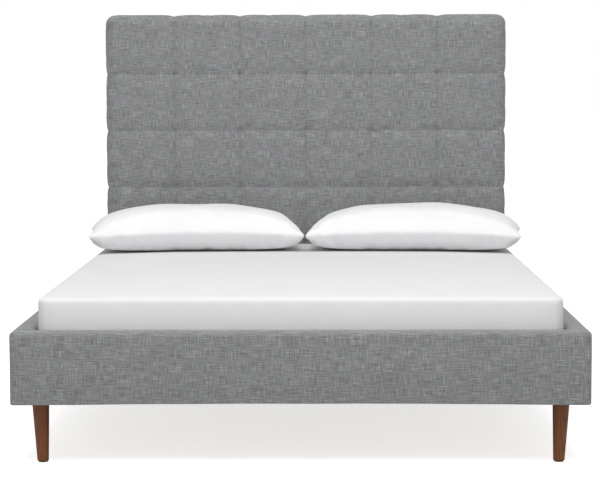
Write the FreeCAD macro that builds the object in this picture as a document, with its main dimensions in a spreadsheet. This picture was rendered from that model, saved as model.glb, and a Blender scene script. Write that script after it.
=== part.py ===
# Upholstered headboard bed: a box frame of padded rails on four turned legs, a tufted headboard
# bolted to the head rail, a slatted deck with a centre beam, a mattress in a fitted sheet and two pillows.
# Millimetres. +Z is up, -Y is the foot of the bed, and the origin is on the floor under the middle.
import FreeCAD, Part

import os
import re

import Sketcher

SIZES = [
    ("bed_wide", 1675, "outside width over the rail covers"),
    ("bed_long", 2240, "foot rail cover to head rail cover"),
    ("rail_low", 176, "underside of the rails above the floor"),
    ("rail_top", 390, "top of the rails above the floor"),
    ("rail_thick", 62, "cover to cover, foot and side rails"),
    ("head_rail_thick", 32, "cover to cover, the rail behind the headboard"),
    ("board_thick", 28, "timber inside each rail"),
    ("cloth", 2, "upholstery fabric with its lining"),
    ("top_foam", 14, "foam over the top edge of a rail board"),
    ("end_foam", 26, "foam over the ends of the foot rail board"),
    ("corner_round", 18, "upright outer corners of the rails"),
    ("edge_round", 14, "top edges of the rails"),
    ("wrap_down", 100, "how far the cover comes down inside a rail"),
    ("mattress_wide", 1524, "queen mattress"),
    ("mattress_long", 2032, "queen mattress"),
    ("mattress_top", 480, "top of the sheet above the floor"),
    ("mattress_deep", 205, "mattress with its sheet"),
    ("mattress_corner", 32, "upright corners of the mattress"),
    ("mattress_edge", 14, "top and bottom edges of the mattress"),
    ("foot_gap", 6, "sheet to the foot rail"),
    ("sheet_tuck", 90, "how far the sheet goes under the mattress"),
    ("slat_wide", 90, "slat across its grain"),
    ("slat_thick", 19, "slat"),
    ("slat_play", 5, "slat end to rail"),
    ("slat_edge", 3, "rounding along a slat"),
    ("first_slat", 50, "mattress end to the middle of the first slat"),
    ("strap_wide", 25, "webbing under the slats"),
    ("strap_thick", 1.5, "webbing under the slats"),
    ("ledger_wide", 32, "slat ledge"),
    ("ledger_tall", 40, "slat ledge"),
    ("block_wide", 72, "corner block across the bed"),
    ("block_long", 90, "corner block along the bed"),
    ("beam_wide", 40, "centre beam"),
    ("beam_tall", 60, "centre beam"),
    ("hanger_plate", 2.5, "steel of the beam hangers"),
    ("hanger_reach", 35, "how far a hanger holds the beam"),
    ("hanger_wing", 45, "half the width of a hanger's wall plate"),
    ("leg_inset", 80, "middle of a leg's top from the rail's outside"),
    ("leg_head", 25, "radius of a leg at the rail"),
    ("leg_toe", 16.5, "radius of a leg at the floor"),
    ("leg_rake", 5.5, "how far a leg leans in at the floor"),
    ("toe_round", 2.5, "rounding at the foot of a leg"),
    ("plate_thick", 3, "steel leg plate"),
    ("plate_side", 62, "square steel leg plate"),
    ("pad_thick", 3, "felt under a leg"),
    ("bolt_shank", 4, "radius of an M8 bolt"),
    ("bolt_head", 7, "hexagon across its corners, half"),
    ("bolt_head_tall", 5.5, "hexagon head"),
    ("washer", 12, "washer radius"),
    ("washer_thick", 2, "washer"),
    ("hanger_bolt_half", 40, "length of a hanger bolt each side of the plate"),
    ("screw_shank", 2.5, "radius of a wood screw"),
    ("screw_head", 4.5, "radius of a wood screw's head"),
    ("screw_long", 50, "wood screw"),
    ("centre_leg_y", 150, "centre leg, towards the head from the middle"),
    ("centre_leg_side", 45, "square centre leg"),
    ("centre_leg_low", 26, "underside of the centre leg"),
    ("insert_out", 6, "outer radius of the threaded insert"),
    ("insert_tall", 20, "threaded insert"),
    ("insert_flange", 9, "radius of its flange"),
    ("thread_play", 0.06, "stud to insert, so that the foot turns"),
    ("glide_foot", 19, "radius of the levelling foot"),
    ("glide_neck", 11, "radius of its top"),
    ("glide_tall", 12, "levelling foot"),
    ("stud_top", 48, "top of the foot's stud"),
    ("nut_tall", 6, "hexagon for the spanner"),
    ("head_wide", 1545, "headboard over its cover"),
    ("head_top", 1363, "top of the headboard"),
    ("head_low", 262, "underside of the headboard's upholstery"),
    ("head_thick", 94, "front of the tufts to the back cloth"),
    ("head_round", 30, "front edges of the headboard"),
    ("head_corner", 34, "upright top corners of the headboard, seen from the foot"),
    ("side_foam", 22, "foam over the panel's sides and top"),
    ("panel_thick", 18, "plywood panel"),
    ("batten_wide", 40, "battens behind the panel"),
    ("batten_thick", 26, "battens and struts behind the panel"),
    ("strut_wide", 70, "headboard strut"),
    ("strut_out", 650, "middle of a strut from the bed's middle"),
    ("strut_low", 180, "foot of a strut"),
    ("flange", 45, "cover turned onto the back of the headboard"),
    ("low_bolt", 225, "height of the lower headboard bolts"),
    ("high_bolt", 345, "height of the upper headboard bolts"),
    ("counterbore", 13, "radius of the hole round a headboard bolt"),
    ("tuft_wide", 254, "pitch of the tufts across"),
    ("tuft_tall", 218, "pitch of the tufts up"),
    ("first_tuft", 228, "top of the headboard to the first row of tufts"),
    ("tuft_deep", 24, "how far a tuft is pulled in"),
    ("twine", 1.5, "radius of a tufting twine"),
    ("toggle", 11, "radius of the washer behind the panel"),
    ("toggle_thick", 2, "washer behind the panel"),
    ("pillow_long", 778, "pillow across the bed"),
    ("pillow_wide", 490, "pillow along the bed"),
    ("pillow_tall", 165, "pillow, lying"),
    ("pillow_seam", 82, "height of the pillow's seam"),
    ("pillow_sole", 150, "pillow's resting face in from its seam"),
    ("pillow_crown", 165, "pillow's top face in from its seam"),
    ("pillow_out", 412, "middle of a pillow from the bed's middle"),
    ("pillow_back", 712, "middle of a pillow towards the head"),
    ("pillow_turn", 5, "degrees that a pillow's outer end points to the foot"),
    ("case_thick", 2, "pillowcase"),
]
SLATS = 12
TUFT_COLUMNS = (-2, -1, 0, 1, 2)
TUFT_ROWS = (0, 1, 2, 3)
LEDGER_SCREWS = 6
SIDES = {"left": -1, "right": 1}
ENDS = {"front": -1, "rear": 1}

doc = FreeCAD.newDocument("upholstered_bed")
sheet = doc.addObject("Spreadsheet::Sheet", "Sizes")
for row, (alias, number, note) in enumerate(SIZES, 1):
    sheet.set(f"A{row}", alias)
    sheet.set(f"B{row}", str(number))
    sheet.setAlias(f"B{row}", alias)
    sheet.set(f"C{row}", note)
doc.recompute()
ALIASES = {alias for alias, number, note in SIZES}
subparts = []


def formula(text):
    """The expression that reads each named size from the sheet."""
    return re.sub(r"[a-z_]+", lambda m: f"Sizes.{m[0]}" if m[0] in ALIASES else m[0], str(text))


def bind(thing, **formulas):
    for name, text in formulas.items():
        thing.setExpression(name, formula(text))


def put(thing, x, y, z, turn=None):
    """Sets a Placement: the turn as a rotation, the position as formulas."""
    if turn:
        thing.Placement = FreeCAD.Placement(FreeCAD.Vector(), turn)
    for axis, text in zip("xyz", (x, y, z)):
        thing.setExpression(f".Placement.Base.{axis}", formula(text))
    return thing


def mirrored(span):
    low, high = span
    return (f"-({high})", f"-({low})")


def on_side(sign, span):
    """A span across the bed or along it, on the positive side or mirrored."""
    return span if sign > 0 else mirrored(span)


# Part primitives and booleans

def slab(name, x, y, z):
    """A box between three pairs of formulas."""
    made = doc.addObject("Part::Box", name)
    for edge, (low, high) in zip(("Length", "Width", "Height"), (x, y, z)):
        bind(made, **{edge: f"({high}) - ({low})"})
    return put(made, x[0], y[0], z[0])


ALONG = {
    "x": FreeCAD.Rotation(FreeCAD.Vector(0, 1, 0), 90),
    "y": FreeCAD.Rotation(FreeCAD.Vector(1, 0, 0), -90),
    "z": FreeCAD.Rotation(),
}


def rod(name, radius, long, x, y, z, along="z"):
    made = doc.addObject("Part::Cylinder", name)
    bind(made, Radius=radius, Height=long)
    return put(made, x, y, z, ALONG[along])


def hexagon(name, radius, long, x, y, z, along="z"):
    made = doc.addObject("Part::Prism", name)
    made.Polygon = 6
    bind(made, Circumradius=radius, Height=long)
    return put(made, x, y, z, ALONG[along])


def cut(name, base, tool):
    made = doc.addObject("Part::Cut", name)
    made.Base, made.Tool = base, tool
    return made


def fuse(name, shapes):
    made = doc.addObject("Part::MultiFuse", name)
    made.Shapes = shapes
    return made


def group(name, shapes):
    """Separate solids that share one node."""
    made = doc.addObject("Part::Compound", name)
    made.Links = shapes
    return made


def fillet(name, base, picks):
    """Rounds the edges that each (test, radius) pair picks. A test reads an edge's middle and direction."""
    doc.recompute()
    edges = []
    for index, edge in enumerate(base.Shape.Edges, 1):
        middle, way = edge.CenterOfMass, edge.tangentAt(edge.FirstParameter)
        for test, radius in picks:
            if test(middle, way):
                edges.append((index, radius, radius))
                break
    made = doc.addObject("Part::Fillet", name)
    made.Base, made.Edges = base, edges
    return made


def size(alias):
    return float(sheet.get(alias))


def subpart(thing, label):
    thing.Label = label
    subparts.append(thing)
    return thing


# PartDesign bodies

def body_plane(body, role):
    return next(f for f in body.Origin.OriginFeatures if f.Role == role)


def sketch_on(body, name, role, lift=None):
    sketch = body.newObject("Sketcher::SketchObject", name)
    sketch.AttachmentSupport = [(body_plane(body, role), "")]
    sketch.MapMode = "FlatFace"
    if lift:
        bind(sketch, **{".AttachmentOffset.Base.z": lift})
    return sketch


def fix(sketch, constraint, text):
    """Adds a size constraint that follows a formula."""
    index = sketch.addConstraint(constraint)
    sketch.setExpression(f"Constraints[{index}]", formula(text))


def rectangle(sketch, wide, tall):
    """A rectangle about the sketch's origin."""
    points = [FreeCAD.Vector(x, y) for x, y in ((-9, -9), (9, -9), (9, 9), (-9, 9))]
    for start, end in zip(points, points[1:] + points[:1]):
        sketch.addGeometry(Part.LineSegment(start, end))
    for line in range(4):
        sketch.addConstraint(Sketcher.Constraint("Coincident", line, 2, (line + 1) % 4, 1))
        sketch.addConstraint(Sketcher.Constraint(("Horizontal", "Vertical")[line % 2], line))
    sketch.addConstraint(Sketcher.Constraint("Symmetric", 0, 1, 2, 1, -1, 1))
    fix(sketch, Sketcher.Constraint("DistanceX", 0, 1, 0, 2, 18.0), wide)
    fix(sketch, Sketcher.Constraint("DistanceY", 1, 1, 1, 2, 18.0), tall)


def circle(sketch, radius, shift=None):
    """A circle on the sketch's X axis, at the origin unless it is shifted."""
    start = FreeCAD.Vector(1 if shift else 0, 0, 0)
    index = sketch.addGeometry(Part.Circle(start, FreeCAD.Vector(0, 0, 1), 5))
    if shift:
        sketch.addConstraint(Sketcher.Constraint("PointOnObject", index, 3, -1))
        fix(sketch, Sketcher.Constraint("DistanceX", -1, 1, index, 3, 1.0), shift)
    else:
        sketch.addConstraint(Sketcher.Constraint("Coincident", index, 3, -1, 1))
    fix(sketch, Sketcher.Constraint("Radius", index, 5.0), radius)


def new_body(name):
    return doc.addObject("PartDesign::Body", name)


def pad(body, sketch, long, midplane=False):
    made = body.newObject("PartDesign::Pad", body.Name + "_pad")
    made.Profile = sketch
    made.Midplane = midplane
    bind(made, Length=long)
    return made


def loft(body, profiles, ruled=False):
    made = body.newObject("PartDesign::AdditiveLoft", body.Name + "_loft")
    made.Profile, made.Sections = profiles[0], profiles[1:]
    made.Ruled = ruled
    return made


def drill(body, feature, radius, deep, lift=None, up=False):
    """A round hole down the body's own Z axis, from the plane at that height, and the volume is compared."""
    doc.recompute()
    before = feature.Shape.Volume
    sketch = sketch_on(body, body.Name + "_hole_plan", "XY_Plane", lift)
    circle(sketch, radius)
    made = body.newObject("PartDesign::Pocket", body.Name + "_hole")
    made.Profile = sketch
    made.Reversed = up
    bind(made, Length=deep)
    doc.recompute()
    if made.Shape.Volume >= before:
        raise RuntimeError(f"the hole in {body.Name} cuts nothing")
    return made


# Named places, as formulas

RAIL_IN = "bed_wide / 2 - rail_thick"
BOARD_IN = f"{RAIL_IN} + cloth"
FOOT_IN = "-bed_long / 2 + rail_thick"
HEAD_RAIL_FACE = "bed_long / 2 - head_rail_thick"
HEAD_FACE = f"{HEAD_RAIL_FACE} - head_thick"
SHEET_FOOT = f"{FOOT_IN} + foot_gap"
SLAT_TOP = "mattress_top - mattress_deep"
DECK = f"{SLAT_TOP} - slat_thick"
RAIL_HEIGHT = ("rail_low", "rail_top")
BOARD_HEIGHT = ("rail_low + cloth", "rail_top - cloth - top_foam")
BLOCK_LOW = "rail_low + plate_thick"
LEG_X = "bed_wide / 2 - leg_inset"
LEG_Y = "bed_long / 2 - leg_inset"


def upright(middle, way):
    return abs(way.z) > 0.9


def top_edge(height):
    return lambda middle, way: abs(way.z) < 0.1 and abs(middle.z - height) < 0.1


def shrunk(span):
    low, high = span
    return (f"{low} + cloth", f"{high} - cloth")


def upholstery(name, x, y, z, board, windows, outer_corner):
    """Cover and foam of a padded rail, round its board. The cover is open where the deck is fixed to the board."""
    top = size("rail_top")
    skin = fillet(name + "_skin", slab(name + "_skin_block", x, y, z), [
        (lambda m, w: upright(m, w) and outer_corner(m), size("corner_round")),
        (top_edge(top), size("edge_round")),
    ])
    core = fillet(name + "_core", slab(name + "_core_block", shrunk(x), shrunk(y), shrunk(z)), [
        (lambda m, w: upright(m, w) and outer_corner(m), size("corner_round") - size("cloth")),
        (top_edge(top - size("cloth")), size("edge_round") - size("cloth")),
    ])
    hollow = cut(name + "_sleeve", skin, core)
    cover = hollow
    for number, window in enumerate(windows):
        cover = cut(f"{name}_open_{number}", cover, window)
    foam = cut(name + "_foam", core, board)
    return cover, foam


# Fasteners. The timber is cut to them afterwards.

def make_hanger_bolts():
    """Double-ended bolts that hold the legs, one more for the centre leg."""
    made = []
    for end, y_sign in ENDS.items():
        for side, x_sign in SIDES.items():
            made.append(rod(f"hanger_bolt_{end}_{side}", "bolt_shank", "2 * hanger_bolt_half",
                            f"{x_sign} * ({LEG_X})", f"{y_sign} * ({LEG_Y})",
                            "rail_low - hanger_bolt_half"))
    made.append(rod("hanger_bolt_centre", "bolt_shank", "2 * hanger_bolt_half", 0, "centre_leg_y",
                    f"{DECK} - beam_tall - hanger_bolt_half"))
    return subpart(group("leg_hanger_bolts", made), "leg_hanger_bolts")


def make_rail_bolts():
    """Two hexagon bolts at each corner, from the block into the side rail's board."""
    made = []
    block_in = f"{BOARD_IN} - block_wide"
    for end, y_sign in ENDS.items():
        inner = FOOT_IN if y_sign < 0 else HEAD_RAIL_FACE
        y = f"{inner} {'+' if y_sign < 0 else '-'} 0.75 * block_long"
        for side, x_sign in SIDES.items():
            for level, share in (("low", 0.3), ("high", 0.7)):
                name = f"rail_bolt_{end}_{side}_{level}"
                z = f"{BLOCK_LOW} + {share} * ({DECK} - ({BLOCK_LOW}))"
                head = on_side(x_sign, (f"{block_in} - bolt_head_tall", block_in))
                shank = on_side(x_sign, (block_in, f"{BOARD_IN} + 0.8 * board_thick"))
                made.append(fuse(name, [
                    hexagon(name + "_head", "bolt_head", "bolt_head_tall", head[0], y, z, "x"),
                    rod(name + "_shank", "bolt_shank", f"({shank[1]}) - ({shank[0]})", shank[0], y, z, "x"),
                ]))
    return subpart(group("rail_bolts", made), "rail_bolts")


def make_headboard_bolts():
    """Hexagon bolts with washers, sunk in the back of the head rail and screwed into the struts."""
    made = []
    seat = "bed_long / 2 - cloth - 10"
    for side, x_sign in SIDES.items():
        for level in ("low_bolt", "high_bolt"):
            name = f"headboard_{level}_{side}"
            x = f"{x_sign} * strut_out"
            tip = f"{HEAD_RAIL_FACE} - 2 * cloth - 0.8 * batten_thick"
            made.append(fuse(name, [
                rod(name + "_shank", "bolt_shank", f"({seat}) - ({tip})", x, tip, level, "y"),
                rod(name + "_washer", "washer", "washer_thick", x, seat, level, "y"),
                hexagon(name + "_head", "bolt_head", "bolt_head_tall", x, f"{seat} + washer_thick", level, "y"),
            ]))
    return subpart(group("headboard_bolts", made), "headboard_bolts")


def wood_screw(name, x, y, z, along):
    """A headed screw whose point is towards plus along the axis."""
    ends = {"x": (f"{x} - 3", y, z), "y": (x, f"{y} - 3", z)}
    return fuse(name, [
        rod(name + "_head", "screw_head", 3, *ends[along], along),
        rod(name + "_shank", "screw_shank", "screw_long", x, y, z, along),
    ])


def make_frame_screws():
    """Wood screws: along both ledges, and two from each block into the foot or head board."""
    made = []
    for side, x_sign in SIDES.items():
        for number in range(LEDGER_SCREWS):
            share = (number + 0.5) / LEDGER_SCREWS
            y = f"{FOOT_IN} + block_long + {share:.4f} * ({HEAD_RAIL_FACE} - ({FOOT_IN}) - 2 * block_long)"
            z = f"{DECK} - ledger_tall / 2"
            name = f"ledger_screw_{side}_{number + 1}"
            start = f"{BOARD_IN} - ledger_wide + 3"
            if x_sign > 0:
                made.append(wood_screw(name, start, y, z, "x"))
            else:
                made.append(fuse(name, [
                    rod(name + "_head", "screw_head", 3, f"-({start})", y, z, "x"),
                    rod(name + "_shank", "screw_shank", "screw_long", f"-({start}) - screw_long", y, z, "x"),
                ]))
        for end, y_sign in ENDS.items():
            for level in (0.3, 0.75):
                name = f"block_screw_{end}_{side}_{int(level * 100)}"
                x = f"{x_sign} * ({BOARD_IN} - 0.75 * block_wide)"
                z = f"{BLOCK_LOW} + {level} * ({DECK} - ({BLOCK_LOW}))"
                if y_sign > 0:
                    made.append(wood_screw(name, x, f"{HEAD_RAIL_FACE} + cloth + 14 - screw_long", z, "y"))
                else:
                    start = f"{FOOT_IN} - cloth - 14"
                    made.append(fuse(name, [
                        rod(name + "_shank", "screw_shank", "screw_long", x, start, z, "y"),
                        rod(name + "_head", "screw_head", 3, x, f"{start} + screw_long", z, "y"),
                    ]))
    return subpart(group("frame_screws", made), "frame_screws")


# Base frame

def make_foot_rail(tools):
    x, y = ("-bed_wide / 2", "bed_wide / 2"), ("-bed_long / 2", FOOT_IN)
    inner_board = f"{FOOT_IN} - cloth"
    board = slab("foot_rail_blank", ("-bed_wide / 2 + cloth + end_foam", "bed_wide / 2 - cloth - end_foam"),
                 (f"{inner_board} - board_thick", inner_board), BOARD_HEIGHT)
    window = slab("foot_rail_window", (f"-({BOARD_IN})", BOARD_IN), (inner_board, f"{FOOT_IN} + 1"),
                  ("rail_low + cloth", "rail_top - wrap_down"))
    cover, foam = upholstery("foot_rail", x, y, RAIL_HEIGHT, board, [window], lambda m: m.y < -size("bed_long") / 2 + 1)
    subpart(cut("foot_rail_board", board, tools), "foot_rail_board")
    subpart(foam, "foot_rail_padding")
    subpart(cover, "foot_rail_cover")


def make_side_rail(side, sign, tools):
    x, y = on_side(sign, (RAIL_IN, "bed_wide / 2")), (FOOT_IN, "bed_long / 2")
    board = slab(f"{side}_rail_blank", on_side(sign, (BOARD_IN, f"{BOARD_IN} + board_thick")),
                 shrunk(y), BOARD_HEIGHT)
    window = slab(f"{side}_rail_window", on_side(sign, (f"{RAIL_IN} - 1", BOARD_IN)),
                  (f"{FOOT_IN} - 1", "bed_long / 2 - cloth"), ("rail_low + cloth", "rail_top - wrap_down"))
    cover, foam = upholstery(f"{side}_rail", x, y, RAIL_HEIGHT, board, [window],
                             lambda m: m.y > size("bed_long") / 2 - 3 and abs(m.x) > size("bed_wide") / 2 - 3)
    subpart(cut(f"{side}_rail_board", board, tools), f"{side}_rail_board")
    subpart(foam, f"{side}_rail_padding")
    subpart(cover, f"{side}_rail_cover")


def make_head_rail(tools):
    x, y = (f"-({RAIL_IN})", RAIL_IN), (HEAD_RAIL_FACE, "bed_long / 2")
    sunk = [rod(f"sunk_hole_{number}", "counterbore", 14, f"{sign} * strut_out", "bed_long / 2 - cloth - 10", level, "y")
            for number, (sign, level) in enumerate((s, h) for s in SIDES.values() for h in ("low_bolt", "high_bolt"))]
    holes = group("sunk_holes", sunk)
    board = slab("head_rail_blank", shrunk(x), shrunk(y), shrunk(RAIL_HEIGHT))
    subpart(cut("head_rail_board", cut("head_rail_sunk", board, holes), tools), "head_rail_board")
    window = slab("head_rail_window", (f"-({BOARD_IN})", BOARD_IN), (f"{HEAD_RAIL_FACE} - 1", f"{HEAD_RAIL_FACE} + cloth"),
                  ("rail_low + cloth", "head_low"))
    sleeve = cut("head_rail_sleeve", slab("head_rail_skin", x, y, RAIL_HEIGHT), board)
    opened = cut("head_rail_opened", cut("head_rail_hemmed", sleeve, window), holes)
    subpart(cut("head_rail_cover", opened, tools), "head_rail_cover")


def make_ledgers(tools):
    for side, sign in SIDES.items():
        blank = slab(f"{side}_ledger_blank", on_side(sign, (f"{BOARD_IN} - ledger_wide", BOARD_IN)),
                     (f"{FOOT_IN} + block_long", f"{HEAD_RAIL_FACE} - block_long"), (f"{DECK} - ledger_tall", DECK))
        subpart(cut(f"{side}_ledger", blank, tools), f"{side}_ledger")


def make_corner_blocks(tools):
    made = []
    for side, x_sign in SIDES.items():
        x = on_side(x_sign, (f"{BOARD_IN} - block_wide", BOARD_IN))
        made.append(slab(f"block_front_{side}", x, (f"{FOOT_IN} - cloth", f"{FOOT_IN} + block_long"), (BLOCK_LOW, DECK)))
        made.append(slab(f"block_rear_{side}", x,
                         (f"{HEAD_RAIL_FACE} - block_long", f"{HEAD_RAIL_FACE} + cloth"), (BLOCK_LOW, DECK)))
    subpart(cut("corner_blocks", group("block_blanks", made), tools), "corner_blocks")


def make_leg(end, side, x_sign, y_sign):
    """A turned taper, from its felt pad to the rail, that leans in a little towards the floor."""
    leg = new_body(f"leg_{end}_{side}")
    toe, head = (sketch_on(leg, leg.Name + name, "XY_Plane", lift)
                 for name, lift in (("_toe", "pad_thick"), ("_head", "rail_low")))
    circle(toe, "leg_toe", f"{-x_sign} * leg_rake")
    circle(head, "leg_head")
    taper = loft(leg, [toe, head])
    drilled = drill(leg, taper, "bolt_shank", "hanger_bolt_half", "rail_low")
    rounded = leg.newObject("PartDesign::Fillet", leg.Name + "_toe_round")
    toe_edges = [f"Edge{i}" for i, e in enumerate(drilled.Shape.Edges, 1) if e.BoundBox.ZMax < size("pad_thick") + 0.1]
    rounded.Base = (drilled, toe_edges)
    bind(rounded, Radius="toe_round")
    put(leg, f"{x_sign} * ({LEG_X})", f"{y_sign} * ({LEG_Y})", 0)
    subpart(leg, leg.Name)


def make_leg_fittings(hanger_bolts):
    """Steel plates over the legs and felt pads under them."""
    plates, pads = [], []
    for end, y_sign in ENDS.items():
        for side, x_sign in SIDES.items():
            across = on_side(x_sign, (f"{RAIL_IN} - plate_side", RAIL_IN))
            along = on_side(y_sign, (f"{LEG_Y} - plate_side / 2", f"{LEG_Y} + plate_side / 2"))
            if y_sign < 0:
                along = (FOOT_IN, f"{FOOT_IN} + plate_side")
            plates.append(slab(f"leg_plate_{end}_{side}", across, along, ("rail_low", BLOCK_LOW)))
            pads.append(rod(f"leg_pad_{end}_{side}", "leg_toe - toe_round - 0.5", "pad_thick",
                            f"{x_sign} * ({LEG_X} - leg_rake)", f"{y_sign} * ({LEG_Y})", 0))
    subpart(cut("leg_plates", group("plate_blanks", plates), hanger_bolts), "leg_plates")
    subpart(group("leg_pads", pads), "leg_pads")


# Deck

def make_slat(number):
    """A planed board with eased long edges."""
    slat = new_body(f"slat_{number:02d}")
    plan = sketch_on(slat, slat.Name + "_section", "YZ_Plane")
    rectangle(plan, "slat_wide", "slat_thick")
    board = pad(slat, plan, f"2 * ({RAIL_IN} - slat_play)", midplane=True)
    doc.recompute()
    rounded = slat.newObject("PartDesign::Fillet", slat.Name + "_edges")
    long_edges = [f"Edge{i}" for i, e in enumerate(board.Shape.Edges, 1) if e.Length > 1000]
    rounded.Base = (board, long_edges)
    bind(rounded, Radius="slat_edge")
    share = (number - 1) / (SLATS - 1)
    put(slat, 0, f"{SHEET_FOOT} + first_slat + {share:.5f} * (mattress_long - 2 * first_slat)",
        f"{SLAT_TOP} - slat_thick / 2")
    subpart(slat, slat.Name)


def make_webbing():
    tapes = [slab(f"webbing_{side}",
                  on_side(sign, ("strut_out - 155 - strap_wide / 2", "strut_out - 155 + strap_wide / 2")),
                  (f"{SHEET_FOOT} + 10", f"{SHEET_FOOT} + mattress_long - 10"), (f"{DECK} - strap_thick", DECK))
             for side, sign in SIDES.items()]
    subpart(group("slat_webbing", tapes), "slat_webbing")


def make_centre_beam(tools):
    y = (f"{FOOT_IN} - cloth + hanger_plate", f"{HEAD_RAIL_FACE} + cloth - hanger_plate")
    blank = slab("beam_blank", ("-beam_wide / 2", "beam_wide / 2"), y, (f"{DECK} - beam_tall", DECK))
    subpart(cut("centre_beam", blank, tools), "centre_beam")


def make_beam_hangers():
    """Bent steel shoes: a wall plate, a shelf and two cheeks."""
    made = []
    low = f"{DECK} - beam_tall - hanger_plate"
    inner = ("-beam_wide / 2 - hanger_plate", "beam_wide / 2 + hanger_plate")
    for end, sign in ENDS.items():
        wall = f"{FOOT_IN} - cloth" if sign < 0 else f"-({HEAD_RAIL_FACE} + cloth)"
        plate = (wall, f"{wall} + hanger_plate")
        reach = (f"{wall} + hanger_plate", f"{wall} + hanger_plate + hanger_reach")
        if sign > 0:
            plate, reach = mirrored(plate), mirrored(reach)
        made.append(fuse(f"hanger_{end}", [
            slab(f"hanger_{end}_wall", ("-hanger_wing", "hanger_wing"), plate, (low, DECK)),
            slab(f"hanger_{end}_shelf", inner, reach, (low, f"{low} + hanger_plate")),
            slab(f"hanger_{end}_cheek_a", (inner[0], "-beam_wide / 2"), reach, (low, f"{low} + 45")),
            slab(f"hanger_{end}_cheek_b", ("beam_wide / 2", inner[1]), reach, (low, f"{low} + 45")),
        ]))
    subpart(group("beam_hangers", made), "beam_hangers")


def make_centre_leg(hanger_bolts):
    """A square leg with a threaded insert, and the levelling foot that turns in it."""
    top = f"{DECK} - beam_tall"
    leg = new_body("centre_leg_post")
    plan = sketch_on(leg, "centre_leg_plan", "XY_Plane", "centre_leg_low")
    rectangle(plan, "centre_leg_side", "centre_leg_side")
    post = pad(leg, plan, f"{top} - centre_leg_low")
    bore = drill(leg, post, "insert_out", "insert_tall", "centre_leg_low", up=True)
    sketch = sketch_on(leg, "stud_room_plan", "XY_Plane", "centre_leg_low")
    circle(sketch, "bolt_shank + 1")
    room = leg.newObject("PartDesign::Pocket", "stud_room")
    room.Profile, room.Reversed = sketch, True
    bind(room, Length="stud_top + 4 - centre_leg_low")
    put(leg, 0, "centre_leg_y", 0)
    subpart(cut("centre_leg", leg, hanger_bolts), "centre_leg")

    insert = fuse("insert_blank", [
        rod("insert_barrel", "insert_out", "insert_tall", 0, "centre_leg_y", "centre_leg_low"),
        rod("insert_rim", "insert_flange", 2, 0, "centre_leg_y", "centre_leg_low - 2"),
    ])
    thread = rod("insert_thread", "bolt_shank + thread_play", "insert_tall + 4", 0, "centre_leg_y", "centre_leg_low - 3")
    subpart(cut("centre_leg_insert", insert, thread), "centre_leg_insert")

    foot = doc.addObject("Part::Cone", "foot_cone")
    bind(foot, Radius1="glide_foot", Radius2="glide_neck", Height="glide_tall")
    put(foot, 0, "centre_leg_y", 0)
    stud = fuse("glide_stud", [
        rod("stud_shank", "bolt_shank", "stud_top - 4", 0, "centre_leg_y", 4),
        hexagon("stud_nut", "bolt_head", "nut_tall", 0, "centre_leg_y", "glide_tall"),
    ])
    subpart(cut("glide_base", foot, stud), "glide_base")
    subpart(stud, "glide_stud")


# Headboard

HEAD_X = ("-head_wide / 2", "head_wide / 2")
HEAD_Y = (HEAD_FACE, HEAD_RAIL_FACE)
PANEL_X = "head_wide / 2 - cloth - side_foam"
PANEL_TOP = "head_top - cloth - side_foam"
BATTEN_BACK = f"{HEAD_RAIL_FACE} - 2 * cloth"
PANEL_BACK = f"{BATTEN_BACK} - batten_thick"


def make_tuft_ties():
    """Twine from the front of each tuft to a washer behind the panel."""
    made = []
    for column in TUFT_COLUMNS:
        for row in TUFT_ROWS:
            name = f"tie_{column + 2}_{row}"
            x, z = f"{column} * tuft_wide", f"head_top - first_tuft - {row} * tuft_tall"
            front = f"{HEAD_FACE} + tuft_deep"
            made.append(fuse(name, [
                rod(name + "_twine", "twine", f"{PANEL_BACK} - ({front})", x, front, z, "y"),
                rod(name + "_toggle", "toggle", "toggle_thick", x, PANEL_BACK, z, "y"),
            ]))
    return subpart(group("tuft_ties", made), "tuft_ties")


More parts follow.
